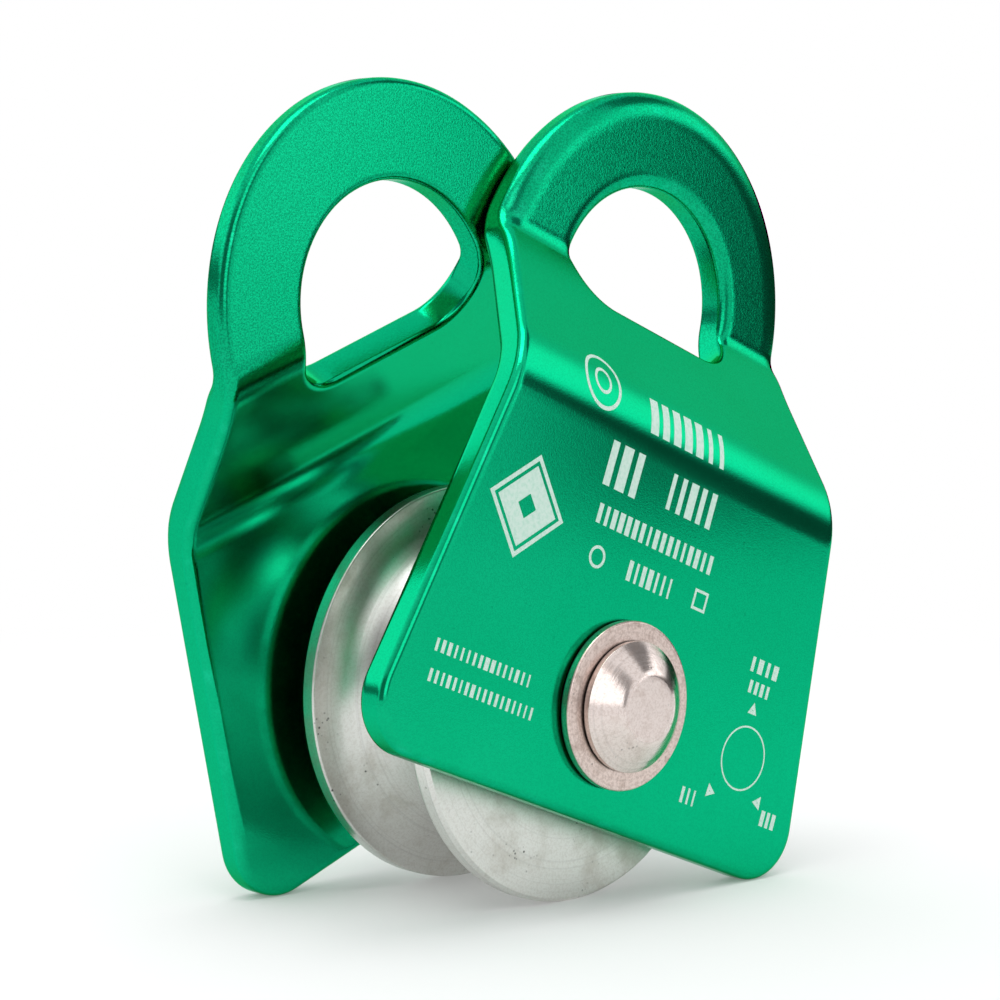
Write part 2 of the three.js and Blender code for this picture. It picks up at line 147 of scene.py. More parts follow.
class Graph:
    """A node tree under construction."""

    def __init__(self, tree: bpy.types.NodeTree) -> None:
        """Keeps the tree that nodes are added to."""
        self.tree = tree

    def node(
        self, kind: str, settings: dict[str, Any] | None = None, inputs: dict[str | int, Any] | None = None
    ) -> bpy.types.Node:
        """Adds one node.

        Args:
            kind: The node's type.
            settings: Its properties, set before its sockets.
            inputs: Values or wires by socket name or number.

        Returns:
            The node.
        """
        node = self.tree.nodes.new(kind)
        for name, value in (settings or {}).items():
            setattr(node, name, value)
        for name, value in (inputs or {}).items():
            self.feed(node.inputs[name], value)
        return node

    def feed(self, socket: bpy.types.NodeSocket, value: Any) -> None:
        """Links a wire to a socket, or sets the socket's own value.

        Args:
            socket: The socket.
            value: A wire or a plain value.
        """
        if isinstance(value, Wire):
            self.tree.links.new(value.socket, socket)
        else:
            socket.default_value = value

    def wire(self, node: bpy.types.Node, output: str | int = 0) -> Wire:
        """A wire from one of a node's outputs."""
        return Wire(self, node.outputs[output])

    def math(self, operation: str, *values: Wire | float) -> Wire:
        """Adds a Math node for one operation on numbers."""
        inputs = dict(enumerate(values))
        return self.wire(self.node("ShaderNodeMath", {"operation": operation}, inputs))

    def mix(self, share: Wire | float, low: Any, high: Any) -> Wire:
        """Mixes two colours.

        Args:
            share: 0 for the first colour and 1 for the second.
            low: The first colour, as a wire or three numbers.
            high: The second colour.

        Returns:
            The mixed colour.
        """
        ends = [value if isinstance(value, Wire) else (*value, 1.0) for value in (low, high)]
        node = self.node("ShaderNodeMix", {"data_type": "RGBA"}, {0: share, 6: ends[0], 7: ends[1]})
        return self.wire(node, 2)

    def noise(self, place: Wire, scale: float, detail: float = 2.0, rough: float = 0.5) -> Wire:
        """Cloudy noise over space, from 0 to 1."""
        inputs = {"Vector": place, "Scale": scale, "Detail": detail, "Roughness": rough}
        return self.wire(self.node("ShaderNodeTexNoise", None, inputs), 0)

    def lines(self, along: Wire, per_mm: float, detail: float = 3.0) -> Wire:
        """Noise that changes only along a length, for tool marks, from 0 to 1."""
        inputs = {"W": along * per_mm, "Scale": 1.0, "Detail": detail, "Roughness": 0.6}
        return self.wire(self.node("ShaderNodeTexNoise", {"noise_dimensions": "1D"}, inputs), 0)

    def attribute(self, name: str) -> Wire:
        """A piece's own number at each point."""
        return self.wire(self.node("ShaderNodeAttribute", {"attribute_name": name}), "Fac")

    def place(self) -> Wire:
        """The place on the object, in metres."""
        return self.wire(self.node("ShaderNodeTexCoord"), "Object")

    def bump(self, height: Wire, depth: float) -> Wire:
        """A surface's normal with a relief.

        Args:
            height: The relief, from 0 to 1.
            depth: Its depth in millimetres.

        Returns:
            The normal.
        """
        node = self.node("ShaderNodeBump", None, {"Strength": 1.0, "Distance": depth * MM, "Height": height})
        return self.wire(node)


# --- Finishes -----------------------------------------------------------------------------------------------


def scaled(colour: Sequence[float], share: float) -> tuple[float, ...]:
    """A colour with each of its numbers multiplied by one share."""
    return tuple(share * part for part in colour)


@dataclass(frozen=True)
class Finish:
    """A surface finish, which is made into a material once and then shared."""

    name: str
    slot: str

    def material(self) -> bpy.types.Material:
        """The finish as a material.

        Returns:
            The material, made on the first call.
        """
        made = bpy.data.materials.get(self.name)
        if made:
            return made
        material = bpy.data.materials.new(self.name)
        material.use_nodes = True
        graph = Graph(material.node_tree)
        shader = next(n for n in material.node_tree.nodes if n.type == "BSDF_PRINCIPLED")
        for socket, value in self.surface(graph).items():
            graph.feed(shader.inputs[socket], value)
        return material

    def surface(self, graph: Graph) -> dict[str, Any]:
        """What feeds the shader's sockets. Each finish states its own.

        Args:
            graph: The material's nodes.

        Returns:
            A value or a wire for each socket by name.
        """
        raise NotImplementedError


@dataclass(frozen=True)
class Anodised(Finish):
    """Dyed anodising over fine blasted aluminium, coarser where the sheet was coined round the eye.

    Thin is the colour where the dye is thin, and glance is the tint of light that grazes the surface.
    """

    colour: tuple[float, float, float] = (0.0012, 0.435, 0.192)
    thin: tuple[float, float, float] = (0.010, 0.56, 0.30)
    roughness: float = 0.13
    grain: float = 0.0120
    coat: float = 0.04
    glance: tuple[float, float, float] = (0.06, 0.70, 0.42)
    cloud_scale: float = 55.0
    patch_scale: float = 420.0
    speck_scale: float = 1500.0
    grain_scale: float = 5400.0
    fine_scale: float = 7500.0

    def surface(self, graph: Graph) -> dict[str, Any]:
        """Dye that thins on worn edges, with a grain that scatters the light.

        Args:
            graph: The material's nodes.

        Returns:
            A value or a wire for each socket by name.
        """
        place = graph.place()
        edge, eye = graph.attribute("edge"), graph.attribute("eye")
        cloud = graph.noise(place, self.cloud_scale, 4)
        patch = graph.noise(place, self.patch_scale, 3)
        grain = graph.noise(place, self.grain_scale, 2, 0.6)
        fine = graph.noise(place, self.fine_scale, 1)
        wear = edge * patch.smooth(0.50, 0.72) * 0.55
        colour = graph.mix(cloud.smooth(0.3, 0.75) * 0.16, self.colour, self.thin)
        colour = graph.mix(wear, colour, self.thin)
        speck = graph.noise(place, self.speck_scale, 2).smooth(0.70, 0.78)
        colour = graph.mix(speck * 0.30, colour, scaled(self.colour, 0.55))
        deep = grain.smooth(0.42, 0.60) * (0.14 + eye * 0.34)
        colour = graph.mix(deep, colour, scaled(self.colour, 0.35))
        rough = self.roughness + (cloud - 0.5) * 0.05 + eye * 0.03 + patch.smooth(0.6, 0.8) * 0.03
        relief = grain * (0.32 + eye * 0.62) + fine * 0.20
        return {
            "Base Color": colour,
            "Metallic": 1.0,
            "Roughness": rough,
            "Specular Tint": (*self.glance, 1.0),
            "Coat Weight": self.coat,
            "Coat Roughness": 0.22,
            "Normal": graph.bump(relief, self.grain),
        }


@dataclass(frozen=True)
class TurnedMetal(Finish):
    """Bare metal with the fine rings that a lathe tool leaves.

    Each scale is how many features of its kind there are in a metre. The last two fields are lengths along the
    profile in millimetres: how far a dull end face reaches, and where each band of painted shade begins and is
    full. These bands are colour painted almost black where the piece meets its neighbour, in place of the
    shadow in that crevice.
    """

    colour: tuple[float, float, float] = (0.73, 0.73, 0.70)
    stain: tuple[float, float, float] = (0.44, 0.40, 0.34)
    roughness: float = 0.31
    lines_per_mm: float = 2.6
    line_depth: float = 0.0050
    stained: float = 0.35
    pitted: float = 0.0
    cloud_scale: float = 150.0
    scratch_scale: float = 700.0
    grain_scale: float = 3800.0
    pit_scale: float = 1500.0
    pit_patch_scale: float = 230.0
    broad_lines_per_mm: float = 0.9
    mottled: float = 0.12
    dull_end: float = 0.0
    # Painted shade: bands along the profile darkened almost to black where the piece meets the next one.
    painted_shade_bands: tuple[tuple[float, float], ...] = ()

    def surface(self, graph: Graph) -> dict[str, Any]:
        """Rings along the profile, with smudges and small pits.

        Args:
            graph: The material's nodes.

        Returns:
            A value or a wire for each socket by name.
        """
        place = graph.place()
        along = graph.attribute("along")
        rings = graph.lines(along, self.lines_per_mm)
        broad = graph.lines(along, self.broad_lines_per_mm, 2)
        scratch = graph.noise(place, self.scratch_scale, 3, 0.7).smooth(0.66, 0.74)
        cloud = graph.noise(place, self.cloud_scale, 5, 0.65)
        grain = graph.noise(place, self.grain_scale, 2, 0.7)
        smudge = cloud.smooth(0.48, 0.70)
        colour = graph.mix(smudge * self.stained, self.colour, self.stain)
        colour = graph.mix(rings.smooth(0.52, 0.72) * 0.22, colour, scaled(self.colour, 0.6))
        colour = graph.mix(scratch * 0.25, colour, scaled(self.colour, 0.45))
        colour = graph.mix(grain.smooth(0.44, 0.62) * self.mottled, colour, self.stain)
        spots = {"Vector": place, "Scale": self.pit_scale, "Randomness": 1.0}
        cells = graph.node("ShaderNodeTexVoronoi", None, spots)
        sparse = graph.noise(place, self.pit_patch_scale, 3).smooth(0.56, 0.68)
        pits = graph.wire(cells, "Distance").smooth(0.24, 0.10) * sparse * self.pitted
        colour = graph.mix(pits, colour, scaled(self.colour, 0.16))
        # Painted shade: the colour goes almost black over each band, standing in for the shadow where the
        # piece meets its neighbour.
        for unshaded, full in self.painted_shade_bands:
            colour = graph.mix(along.smooth(unshaded, full) * 0.9, colour, scaled(self.colour, 0.06))
        dull = along.smooth(self.dull_end + 0.2, self.dull_end - 0.1) if self.dull_end else 0.0
        rough = self.roughness + (broad - 0.5) * 0.10 + smudge * 0.10 + (grain - 0.5) * 0.06 + dull * 0.18
        relief = rings + grain * 0.45 - pits * 2.0
        return {
            "Base Color": colour,
            "Metallic": 1.0,
            "Roughness": rough,
            "Normal": graph.bump(relief, self.line_depth),
        }


@dataclass(frozen=True)
class StampedMetal(Finish):
    """Pressed or stamped metal with a plain fine grain."""

    colour: tuple[float, float, float] = (0.06, 0.06, 0.065)
    roughness: float = 0.42

    def surface(self, graph: Graph) -> dict[str, Any]:
        """An even tone that is a little cloudy, with a fine grain.

        Args:
            graph: The material's nodes.

        Returns:
            A value or a wire for each socket by name.
        """
        place = graph.place()
        cloud = graph.noise(place, 300, 3)
        grain = graph.noise(place, 5000, 2)
        paler = scaled(self.colour, 1.5)
        return {
            "Base Color": graph.mix(cloud.smooth(0.3, 0.8) * 0.4, self.colour, paler),
            "Metallic": 1.0,
            "Roughness": self.roughness + (grain - 0.5) * 0.12,
            "Normal": graph.bump(grain, 0.002),
        }


@dataclass(frozen=True)
class LaserMark(Finish):
    """Where a laser has bleached the dye out of the anodising."""

    colour: tuple[float, float, float] = (0.62, 0.78, 0.70)

    def surface(self, graph: Graph) -> dict[str, Any]:
        """A pale dull grey that is broken up a little.

        Args:
            graph: The material's nodes.

        Returns:
            A value or a wire for each socket by name.
        """
        broken = graph.noise(graph.place(), 2600, 2)
        return {
            "Base Color": graph.mix(broken.smooth(0.35, 0.8) * 0.45, self.colour, (0.25, 0.62, 0.46)),
            "Metallic": 0.35,
            "Roughness": 0.55,
            "Normal": graph.bump(broken, 0.002),
        }


GREEN = Anodised("green_anodised", "cheek")
SHEAVE_ALUMINIUM = TurnedMetal("sheave_aluminium", "sheave", stained=0.50, pitted=1.0, mottled=0.20)
RIVET_STEEL = TurnedMetal(
    "rivet_steel",
    "axle_steel",
    colour=(0.76, 0.67, 0.635),
    stain=(0.38, 0.26, 0.21),
    roughness=0.15,
    lines_per_mm=2.4,
    line_depth=0.0100,
    stained=0.30,
    pitted=0.5,
    cloud_scale=520.0,
    mottled=0.22,
    dull_end=3.1,
    # Painted shade at the foot of the head, where it sits on the washer.
    painted_shade_bands=((7.30, 7.60),),
)
WASHER_STEEL = TurnedMetal(
    "washer_steel",
    "axle_steel",
    colour=(0.72, 0.60, 0.55),
    stain=(0.27, 0.17, 0.13),
    roughness=0.30,
    lines_per_mm=3.0,
    line_depth=0.0080,
    stained=0.36,
    pitted=0.6,
    cloud_scale=620.0,
    mottled=0.32,
    # Painted shade under the rivet's head, and on the face and rim edge that sit against the cheek.
    painted_shade_bands=((5.80, 6.15), (3.55, 3.15)),
)
SLEEVE_STEEL = replace(WASHER_STEEL, name="sleeve_steel", painted_shade_bands=())
BEARING_STEEL = TurnedMetal(
    "bearing_steel",
    "bearing_steel",
    colour=(0.50, 0.51, 0.53),
    stain=(0.33, 0.31, 0.28),
    roughness=0.16,
    lines_per_mm=5.0,
    line_depth=0.0010,
    stained=0.15,
)
CAGE_BRASS = StampedMetal("cage_brass", "cage_brass", (0.52, 0.33, 0.10), 0.32)
SPRING_STEEL = StampedMetal("spring_steel", "spring_steel")
LASER_MARK = LaserMark("laser_mark", "cheek")


# --- Making pieces ------------------------------------------------------------------------------------------


class Piece:
    """Helpers that turn meshes into finished pieces of the object."""

    @staticmethod
    def outward(mesh: bpy.types.Mesh, weld: float = 0.0) -> None:
        """Points a closed mesh's faces outwards and shades it smooth.

        Args:
            mesh: The mesh, which is changed.
            weld: Corners nearer than this are joined first, in metres.
        """
        shell = bmesh.new()
        shell.from_mesh(mesh)
        if weld:
            bmesh.ops.remove_doubles(shell, verts=shell.verts, dist=weld)
        bmesh.ops.recalc_face_normals(shell, faces=shell.faces)
        for face in shell.faces:
            face.smooth = True
        shell.to_mesh(mesh)
        shell.free()

    @staticmethod
    def baked(obj: bpy.types.Object, name: str) -> bpy.types.Mesh:
        """Takes the plain mesh that an object's modifiers give.

        Args:
            obj: The object, which is removed.
            name: The name of the mesh.

        Returns:
            The mesh.
        """
        bpy.context.view_layer.update()
        evaluated = obj.evaluated_get(bpy.context.evaluated_depsgraph_get())
        mesh = bpy.data.meshes.new_from_object(evaluated)
        mesh.name = name
        obj.modifiers.clear()
        bpy.data.objects.remove(obj)
        return mesh

    @staticmethod
    def dress(
        mesh: bpy.types.Mesh, name: str, finish: Finish, body: Body, nodes: Iterable[str]
    ) -> bpy.types.Object:
        """Puts a finished mesh in the scene.

        Args:
            mesh: The mesh, already in its place.
            name: The piece's name.
            finish: Its finish.
            body: The body that it rides on.
            nodes: The plain nodes that it stands for.

        Returns:
            The new object.
        """
        mesh.materials.clear()
        mesh.materials.append(finish.material())
        obj = bpy.data.objects.new(name, mesh)
        bpy.context.scene.collection.objects.link(obj)
        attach(obj, body.value)
        names = list(nodes)
        if names:
            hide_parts(*names)
        LOG.info("%s: %d faces", name, len(mesh.polygons))
        return obj


class NodeTree:
    """A Geometry Nodes tree with named inputs."""

    def __init__(self, name: str, inputs: dict[str, str]) -> None:
        """Starts a tree.

        Args:
            name: The tree's name.
            inputs: Each input's name and socket type.
        """
        self.tree = bpy.data.node_groups.new(name, "GeometryNodeTree")
        self.graph = Graph(self.tree)
        face = self.tree.interface
        face.new_socket("Geometry", in_out="OUTPUT", socket_type="NodeSocketGeometry")
        face.new_socket("Geometry", in_out="INPUT", socket_type="NodeSocketGeometry")
        self.keys = {}
        for label, kind in inputs.items():
            self.keys[label] = face.new_socket(label, in_out="INPUT", socket_type=kind).identifier
        self.source = self.graph.node("NodeGroupInput")

    def input(self, label: str) -> Wire:
        """A wire from one of the tree's inputs."""
        return self.graph.wire(self.source, label)

    def close(self, geometry: Wire) -> None:
        """Ends the tree with smooth shading, real instances and the material.

        Args:
            geometry: The tree's geometry so far.
        """
        graph = self.graph
        real = graph.node("GeometryNodeRealizeInstances", None, {"Geometry": geometry})
        smooth = graph.node("GeometryNodeSetShadeSmooth", None, {"Geometry": graph.wire(real)})
        coat = {"Geometry": graph.wire(smooth), "Material": self.input("Material")}
        done = graph.node("GeometryNodeSetMaterial", None, coat)
        graph.node("NodeGroupOutput", None, {"Geometry": graph.wire(done)})

    def run(self, start: bpy.types.Mesh, values: dict[str, Any]) -> bpy.types.Mesh:
        """Runs the tree on a mesh.

        Args:
            start: The mesh that the tree is given.
            values: The value of each input by its name.

        Returns:
            The plain mesh that comes out.
        """
        obj = bpy.data.objects.new(start.name, start)
        bpy.context.scene.collection.objects.link(obj)
        modifier = obj.modifiers.new(self.tree.name, "NODES")
        modifier.node_group = self.tree
        for label, value in values.items():
            modifier[self.keys[label]] = value
        return Piece.baked(obj, start.name)


# --- Turned pieces ------------------------------------------------------------------------------------------


class Lathe:
    """Turns profiles round the axle."""

    def __init__(self, axle_height: float) -> None:
        """Builds the tree.

        Args:
            axle_height: The axle's height above the floor, in metres.
        """
        self.axle_height = axle_height
        kinds = {
            "Segments": "NodeSocketInt", "Axle Height": "NodeSocketFloat", "Material": "NodeSocketMaterial",
        }
        self.nodes = NodeTree("turned_round_axle", kinds)
        graph = self.nodes.graph
        profile = self.nodes.input("Geometry")
        columns = self.nodes.input("Segments") + 1
        size = graph.node("GeometryNodeAttributeDomainSize", {"component": "MESH"}, {"Geometry": profile})
        rows = graph.wire(size, "Point Count")
        count = {"Size X": 1.0, "Size Y": 1.0, "Vertices X": rows, "Vertices Y": columns}
        grid = graph.node("GeometryNodeMeshGrid", None, count)
        index = graph.wire(graph.node("GeometryNodeInputIndex"))
        row = graph.math("FLOOR", (index + 0.5) / columns)
        angle = (index - row * columns) / self.nodes.input("Segments") * math.tau
        at = {"Geometry": profile, "Index": row}
        here = graph.wire(graph.node("GeometryNodeInputPosition"))
        corner = graph.node("GeometryNodeSampleIndex", {"data_type": "FLOAT_VECTOR"}, {**at, "Value": here})
        parts = graph.node("ShaderNodeSeparateXYZ", None, {0: graph.wire(corner)})
        radius, side = graph.wire(parts, "X"), graph.wire(parts, "Y")
        spun = {
            "X": radius * graph.math("SINE", angle),
            "Y": side,
            "Z": radius * graph.math("COSINE", angle) + self.nodes.input("Axle Height"),
        }
        place = graph.wire(graph.node("ShaderNodeCombineXYZ", None, spun))
        moved = graph.node("GeometryNodeSetPosition", None, {"Geometry": graph.wire(grid), "Position": place})
        length = graph.node("GeometryNodeInputNamedAttribute", {"data_type": "FLOAT"}, {"Name": "along"})
        at["Value"] = graph.wire(length)
        sampled = graph.node("GeometryNodeSampleIndex", {"data_type": "FLOAT"}, at)
        keep = {"Geometry": graph.wire(moved), "Name": "along", "Value": graph.wire(sampled)}
        kind = {"data_type": "FLOAT", "domain": "POINT"}
        stored = graph.node("GeometryNodeStoreNamedAttribute", kind, keep)
        weld = {"Geometry": graph.wire(stored), "Distance": WELD}
        joined = graph.node("GeometryNodeMergeByDistance", None, weld)
        self.nodes.close(graph.wire(joined))

    @staticmethod
    def softened(corners: Sequence[Corner], closed: bool) -> list[tuple[float, float]]:
        """Rounds the corners of a profile and adds a point beside each round, so that flats stay flat.

        Args:
            corners: Each corner's radius from the axle, its place along the axle, and its rounding.
            closed: Whether the profile comes back to its first corner.

        Returns:
            The points of the rounded profile.
        """
        points: list[tuple[float, float]] = []
        count = len(corners)
        for i, (r, y, rounding) in enumerate(corners):
            ends = not closed and i in (0, count - 1)
            here = np.array((r, y))
            if ends or rounding <= 0:
                points.append((r, y))
                continue
            before = np.array(corners[i - 1][:2]) - here
            after = np.array(corners[(i + 1) % count][:2]) - here
            reach = 0.42 * min(np.linalg.norm(before), np.linalg.norm(after))
            before /= np.linalg.norm(before)
            after /= np.linalg.norm(after)
            half = math.acos(float(np.clip(before @ after, -1, 1))) / 2
            cut = min(rounding / math.tan(half), reach)
            radius = cut * math.tan(half)
            middle = (before + after) / np.linalg.norm(before + after)
            centre = here + middle * radius / math.sin(half)
            start, end = here + before * cut, here + after * cut
            lead = min(0.10, cut * 0.35)
            points.append(tuple(start + before * lead))
            for share in np.linspace(0, 1, 6):
                ray = (start - centre) * (1 - share) + (end - centre) * share
                points.append(tuple(centre + ray / np.linalg.norm(ray) * radius))
            points.append(tuple(end + after * lead))
        if closed:
            points.append(points[0])
        return points

    def turn(
        self, name: str, corners: Sequence[Corner], finish: Finish, segments: int = 128, closed: bool = True
    ) -> bpy.types.Mesh:
        """Turns a profile.

        Args:
            name: The piece's name.
            corners: The profile's corners, in millimetres.
            finish: The finish of the piece.
            segments: How many steps the round is made of.
            closed: Whether the profile comes back to its first corner.

        Returns:
            The turned mesh.
        """
        points = np.array(self.softened(corners, closed))
        steps = np.linalg.norm(np.diff(points, axis=0), axis=1)
        along = np.concatenate(([0.0], np.cumsum(steps)))
        if not closed:
            along = np.minimum(along, along[-1] - along)
        start = bpy.data.meshes.new(name)
        edges = [(i, i + 1) for i in range(len(points) - 1)]
        start.from_pydata([(r * MM, y * MM, 0.0) for r, y in points], edges, [])
        lengths = start.attributes.new("along", "FLOAT", "POINT")
        lengths.data.foreach_set("value", along.astype(np.float32))
        values = {"Segments": segments, "Axle Height": self.axle_height, "Material": finish.material()}
        mesh = self.nodes.run(start, values)
        Piece.outward(mesh, WELD)
        return mesh

    def piece(
        self, name: str, ending: str, corners: Sequence[Corner], finish: Finish, body: Body, **options: Any
    ) -> None:
        """Turns a piece that stands for the node of the same name.

        Args:
            name: The node's name.
            ending: What is added to it for the piece's name.
            corners: The profile's corners, in millimetres.
            finish: The finish of the piece.
            body: The body that it rides on.
            **options: The further options of turn.
        """
        mesh = self.turn(name, corners, finish, **options)
        Piece.dress(mesh, f"{name}_{ending}", finish, body, [name])


# --- Sheave and bearing -------------------------------------------------------------------------------------


@dataclass
class Bearing:
    """A shielded ball bearing in the sheave, with the ring that holds it there."""

    bore: float = 5.03
    radius: float = 11.0
    half: float = 3.0
    pitch: float = 8.015
    ball: float = 3.1
    count: int = 9
    track: float = 1.61
    inner_shoulder: float = 7.29
    outer_shoulder: float = 8.74

    def track_corners(self, shoulder: float, away: int) -> list[Corner]:
        """The ball track of a race as profile corners, from -Y to +Y.

        Args:
            shoulder: The radius at which the track meets the race's shoulder.
            away: -1 on the inner race and 1 on the outer one.

        Returns:
            The corners.
        """
        start = math.asin(min(1.0, abs(shoulder - self.pitch) / self.track))
        angles = np.linspace(start - QUARTER, QUARTER - start, 12)
        return [
            (self.pitch + away * self.track * math.cos(a), self.track * math.sin(a), 0.0) for a in angles
        ]

    def races(self, lathe: Lathe) -> None:
        """Makes both races and both shields.

        Args:
            lathe: The lathe that turns them.
        """
        inner = [(self.bore, -self.half, 0.15), (self.inner_shoulder, -self.half, 0.15)]
        inner += self.track_corners(self.inner_shoulder, -1)
        inner += [(self.inner_shoulder, self.half, 0.15), (self.bore, self.half, 0.15)]
        lathe.piece("bearing_inner_race", "ground", inner, BEARING_STEEL, Body.AXLE)
        outer = [(self.radius, self.half, 0.2), (self.radius, -self.half, 0.2)]
        outer += [(self.outer_shoulder, -self.half, 0.1)]
        outer += self.track_corners(self.outer_shoulder, 1)
        outer += [(self.outer_shoulder, self.half, 0.1)]
        lathe.piece("bearing_outer_race", "ground", outer, BEARING_STEEL, Body.SHEAVE_WHEEL)
        for side in Side:
            low, high = self.half - 0.4, self.half - 0.1
            rim, hub = self.outer_shoulder - 0.03, self.inner_shoulder + 0.08
            dish = [
                (hub, low, 0.08), (hub, high, 0.08), (hub + 0.35, high, 0.05), (hub + 0.5, high - 0.06, 0.03),
                (rim - 0.3, high - 0.06, 0.03), (rim - 0.2, high, 0.03), (rim, high, 0.06), (rim, low, 0.06),
            ]
            name = f"{side.word}_bearing_shield"
            lathe.piece(name, "pressed", side.place(dish), BEARING_STEEL, Body.SHEAVE_WHEEL)

    def balls(self, axle_height: float) -> None:
        """Makes the set of balls with Geometry Nodes.

        Args:
            axle_height: The axle's height above the floor, in metres.
        """
        kinds = {
            "Count": "NodeSocketInt", "Pitch Radius": "NodeSocketFloat", "Ball Radius": "NodeSocketFloat",
            "Axle Height": "NodeSocketFloat", "Material": "NodeSocketMaterial",
        }
        nodes = NodeTree("balls_round_axle", kinds)
        graph = nodes.graph
        spread = {"Vertices": nodes.input("Count"), "Radius": nodes.input("Pitch Radius")}
        circle = graph.node("GeometryNodeMeshCircle", None, spread)
        lift = graph.wire(graph.node("ShaderNodeCombineXYZ", None, {"Z": nodes.input("Axle Height")}))
        turn = {"Geometry": graph.wire(circle), "Translation": lift, "Rotation": (QUARTER, -QUARTER, 0.0)}
        upright = graph.node("GeometryNodeTransform", None, turn)
        shape = {"Segments": 32, "Rings": 16, "Radius": nodes.input("Ball Radius")}
        sphere = graph.node("GeometryNodeMeshUVSphere", None, shape)
        spots = {"Points": graph.wire(upright), "Instance": graph.wire(sphere)}
        nodes.close(graph.wire(graph.node("GeometryNodeInstanceOnPoints", None, spots)))
        values = {
            "Count": self.count, "Pitch Radius": self.pitch * MM, "Ball Radius": self.ball / 2 * MM,
            "Axle Height": axle_height, "Material": BEARING_STEEL.material(),
        }
        mesh = nodes.run(bpy.data.meshes.new("bearing_balls"), values)
        names = [f"bearing_ball_{i + 1}" for i in range(self.count)]
        Piece.dress(mesh, "bearing_balls_polished", BEARING_STEEL, Body.BALL_TRAIN, names)

    @staticmethod
    def softened_copy(node: str, finish: Finish, body: Body, width: float) -> None:
        """Makes a copy of a node with its sharp edges broken.

        Args:
            node: The node to copy.
            finish: The finish of the copy.
            body: The body that it rides on.
            width: The width of the broken edge, in millimetres.
        """
        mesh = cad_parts[node].data.copy()
        Piece.outward(mesh, WELD)
        obj = bpy.data.objects.new(node, mesh)
        bpy.context.scene.collection.objects.link(obj)
        bevel = obj.modifiers.new("broken_edges", "BEVEL")
        bevel.width = width * MM
        bevel.segments = 2
        bevel.limit_method = "ANGLE"
        bevel.angle_limit = math.radians(35)
        done = Piece.baked(obj, node)
        Piece.dress(done, f"{node}_finished", finish, body, [node])

    def build(self, lathe: Lathe) -> None:
        """Makes the whole bearing and its retaining ring.

        Args:
            lathe: The lathe that turns its round pieces.
        """
        self.races(lathe)
        self.balls(lathe.axle_height)
        self.softened_copy("bearing_cage", CAGE_BRASS, Body.BALL_TRAIN, 0.05)
        self.softened_copy("bearing_retaining_ring", SPRING_STEEL, Body.SHEAVE_WHEEL, 0.08)


@dataclass
class Sheave:
    """The grooved wheel."""

    radius: float = 20.0
    half_groove: float = 7.05
    groove_depth: float = 6.8
    rim: float = 1.85
    chamfer: float = 0.35
    seat: float = 11.03
    lip: float = 9.6
    mouth: float = 11.53
    ring_out: float = -3.03
    ring_in: float = -4.09

    def profile(self) -> list[Corner]:
        """The profile, with the groove as a fine run of points.

        Returns:
            The profile's corners.
        """
        half = self.half_groove + self.rim
        edge = self.radius - self.chamfer
        groove = [
            (self.radius - self.groove_depth * math.cos(a), self.half_groove * math.sin(a), 0.0)
            for a in np.linspace(-QUARTER, QUARTER, 41)[1:-1]
        ]
        return [
            (self.seat, -half, 0.25),
            (edge, -half, 0.12),
            (self.radius, -half + self.chamfer, 0.12),
            (self.radius, -self.half_groove, 0.22),
            *groove,
            (self.radius, self.half_groove, 0.22),
            (self.radius, half - self.chamfer, 0.12),
            (edge, half, 0.12),
            (self.lip, half, 0.25),
            (self.lip, 3.03, 0.1),
            (self.seat, 3.03, 0.05),
            (self.seat, self.ring_out, 0.05),
            (self.mouth, self.ring_out, 0.05),
            (self.mouth, self.ring_in, 0.05),
            (self.seat, self.ring_in, 0.05),
        ]

    def build(self, lathe: Lathe) -> None:
        """Makes the sheave."""
        lathe.piece("sheave", "turned", self.profile(), SHEAVE_ALUMINIUM, Body.SHEAVE_WHEEL, segments=192)


# --- Axle ---------------------------------------------------------------------------------------------------


@dataclass
class Axle:
    """The rivet with its washers and sleeves."""

    radius: float = 5.0
    running_fit: float = 0.08
    head: float = 6.3
    head_edge: float = 0.75
    head_face: float = 3.3
    head_inside: float = 16.18
    head_height: float = 2.8
    washer: float = 8.2
    washer_inside: float = 15.05
    washer_thickness: float = 1.1
    sleeve: float = 7.29
    sleeve_inside: float = 3.03
    sleeve_outside: float = 11.45

    def rivet_half(self) -> list[Corner]:
        """The rear half of the rivet's profile, from the axle out and in to the middle of the end.

        Returns:
            The profile's corners.
        """
        low, top = self.head_inside, self.head_inside + self.head_height
        shoulder = low + self.head_edge
        cone = []
        for share in (0.3, 0.6):
            r = self.head + (self.head_face - self.head) * share
            y = shoulder + (top - shoulder) * share
            swell = 0.07 * math.sin(math.pi * share)
            cone.append((r + swell, y + swell, 0.0))
        return [
            (self.radius, low, 0.05),
            (self.head, low, 0.26),
            (self.head, shoulder, 0.06),
            *cone,
            (self.head_face, top, 1.8),
            (0.0, top, 0.0),
        ]

    def build(self, lathe: Lathe) -> None:
        """Makes the rivet, the washers and the sleeves.

        Args:
            lathe: The lathe that turns them.
        """
        rear = self.rivet_half()
        front = Side.FRONT.place(reversed(rear))
        lathe.piece("axle_rivet", "headed", front + rear, RIVET_STEEL, Body.AXLE, closed=False)
        bore = self.radius + self.running_fit
        low, high = self.washer_inside, self.washer_inside + self.washer_thickness
        washer = [(bore, low, 0.1), (self.washer, low, 0.3), (self.washer, high, 0.26), (bore, high, 0.1)]
        sleeve = [
            (bore, self.sleeve_inside, 0.2), (self.sleeve, self.sleeve_inside, 0.2),
            (self.sleeve, self.sleeve_outside, 0.2), (bore, self.sleeve_outside, 0.2),
        ]
        for side in Side:
            name = f"{side.word}_outer_washer"
            lathe.piece(name, "turned", side.place(washer), WASHER_STEEL, Body.AXLE)
            name = f"{side.word}_spacer_sleeve"
            lathe.piece(name, "turned", side.place(sleeve), SLEEVE_STEEL, Body.AXLE)


# --- Cheeks -------------------------------------------------------------------------------------------------


